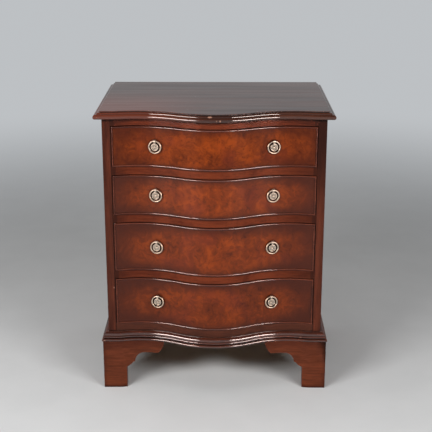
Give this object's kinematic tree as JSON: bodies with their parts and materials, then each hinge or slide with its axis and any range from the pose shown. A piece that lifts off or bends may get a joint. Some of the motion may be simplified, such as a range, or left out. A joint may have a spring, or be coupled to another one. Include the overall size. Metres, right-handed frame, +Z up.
{
  "type": "serpentine chest of drawers",
  "caption": "Small mahogany chest with a serpentine front, cockbeaded sliding drawers, brass ring pulls, moulded top and base, on shaped bracket feet.",
  "frame": {"origin": "on the floor under the middle of the chest's bounding box", "axes": "+Z up, +X to the right seen from the front, -Y out of the drawer fronts"},
  "size_m": [0.5774, 0.4356, 0.724],
  "materials": {
    "mahogany": "dark red-brown stain under glossy polish",
    "veneer": "mottled burr veneer under glossy polish",
    "lining": "plain unpolished secondary wood",
    "brass": "pale aged brass",
    "steel": "dull screw steel"
  },
  "bodies": {
    "carcass": {"back_panel": "lining", "base_moulding_front": "mahogany", "base_moulding_left": "mahogany", "base_moulding_right": "mahogany", "bottom_board": "lining", "bottom_rail": "mahogany", "divider_rail_1": "mahogany", "divider_rail_2": "mahogany", "divider_rail_3": "mahogany", "drawer_runners": "lining", "drawer_stops": "lining", "front_left_foot": "mahogany", "front_right_foot": "mahogany", "left_side": "mahogany", "rear_left_foot": "mahogany", "rear_right_foot": "mahogany", "right_side": "mahogany", "top_board": "mahogany", "top_rail": "mahogany", "wood_screws": "steel"},
    "drawer_1": {"drawer_1_back": "lining", "drawer_1_bottom": "lining", "drawer_1_cockbead": "mahogany", "drawer_1_front": "veneer", "drawer_1_left_side": "lining", "drawer_1_pull_bosses": "brass", "drawer_1_pull_nuts": "brass", "drawer_1_right_side": "lining"},
    "drawer_1_left_ring": {"drawer_1_left_ring": "brass"},
    "drawer_1_right_ring": {"drawer_1_right_ring": "brass"},
    "drawer_2": {"drawer_2_back": "lining", "drawer_2_bottom": "lining", "drawer_2_cockbead": "mahogany", "drawer_2_front": "veneer", "drawer_2_left_side": "lining", "drawer_2_pull_bosses": "brass", "drawer_2_pull_nuts": "brass", "drawer_2_right_side": "lining"},
    "drawer_2_left_ring": {"drawer_2_left_ring": "brass"},
    "drawer_2_right_ring": {"drawer_2_right_ring": "brass"},
    "drawer_3": {"drawer_3_back": "lining", "drawer_3_bottom": "lining", "drawer_3_cockbead": "mahogany", "drawer_3_front": "veneer", "drawer_3_left_side": "lining", "drawer_3_pull_bosses": "brass", "drawer_3_pull_nuts": "brass", "drawer_3_right_side": "lining"},
    "drawer_3_left_ring": {"drawer_3_left_ring": "brass"},
    "drawer_3_right_ring": {"drawer_3_right_ring": "brass"},
    "drawer_4": {"drawer_4_back": "lining", "drawer_4_bottom": "lining", "drawer_4_cockbead": "mahogany", "drawer_4_front": "veneer", "drawer_4_left_side": "lining", "drawer_4_pull_bosses": "brass", "drawer_4_pull_nuts": "brass", "drawer_4_right_side": "lining"},
    "drawer_4_left_ring": {"drawer_4_left_ring": "brass"},
    "drawer_4_right_ring": {"drawer_4_right_ring": "brass"}
  },
  "joints": [
    {"name": "drawer_1_slide", "type": "slide", "parent": "carcass", "child": "drawer_1", "axis": [0, -1, 0], "range_m": [0, 0.27]},
    {"name": "drawer_1_left_ring_swing", "type": "hinge", "parent": "drawer_1", "child": "drawer_1_left_ring", "pos_m": [-0.14352, -0.16306, 0.65015], "axis": [-0.979, 0.2038, 0], "range_deg": [0, 170]},
    {"name": "drawer_1_right_ring_swing", "type": "hinge", "parent": "drawer_1", "child": "drawer_1_right_ring", "pos_m": [0.14352, -0.16306, 0.65015], "axis": [-0.979, -0.2038, 0], "range_deg": [0, 170]},
    {"name": "drawer_2_slide", "type": "slide", "parent": "carcass", "child": "drawer_2", "axis": [0, -1, 0], "range_m": [0, 0.27]},
    {"name": "drawer_2_left_ring_swing", "type": "hinge", "parent": "drawer_2", "child": "drawer_2_left_ring", "pos_m": [-0.14352, -0.16306, 0.52815], "axis": [-0.979, 0.2038, 0], "range_deg": [0, 170]},
    {"name": "drawer_2_right_ring_swing", "type": "hinge", "parent": "drawer_2", "child": "drawer_2_right_ring", "pos_m": [0.14352, -0.16306, 0.52815], "axis": [-0.979, -0.2038, 0], "range_deg": [0, 170]},
    {"name": "drawer_3_slide", "type": "slide", "parent": "carcass", "child": "drawer_3", "axis": [0, -1, 0], "range_m": [0, 0.27]},
    {"name": "drawer_3_left_ring_swing", "type": "hinge", "parent": "drawer_3", "child": "drawer_3_left_ring", "pos_m": [-0.14352, -0.16306, 0.3939], "axis": [-0.979, 0.2038, 0], "range_deg": [0, 170]},
    {"name": "drawer_3_right_ring_swing", "type": "hinge", "parent": "drawer_3", "child": "drawer_3_right_ring", "pos_m": [0.14352, -0.16306, 0.3939], "axis": [-0.979, -0.2038, 0], "range_deg": [0, 170]},
    {"name": "drawer_4_slide", "type": "slide", "parent": "carcass", "child": "drawer_4", "axis": [0, -1, 0], "range_m": [0, 0.27]},
    {"name": "drawer_4_left_ring_swing", "type": "hinge", "parent": "drawer_4", "child": "drawer_4_left_ring", "pos_m": [-0.14352, -0.16306, 0.2484], "axis": [-0.979, 0.2038, 0], "range_deg": [0, 170]},
    {"name": "drawer_4_right_ring_swing", "type": "hinge", "parent": "drawer_4", "child": "drawer_4_right_ring", "pos_m": [0.14352, -0.16306, 0.2484], "axis": [-0.979, -0.2038, 0], "range_deg": [0, 170]}
  ]
}
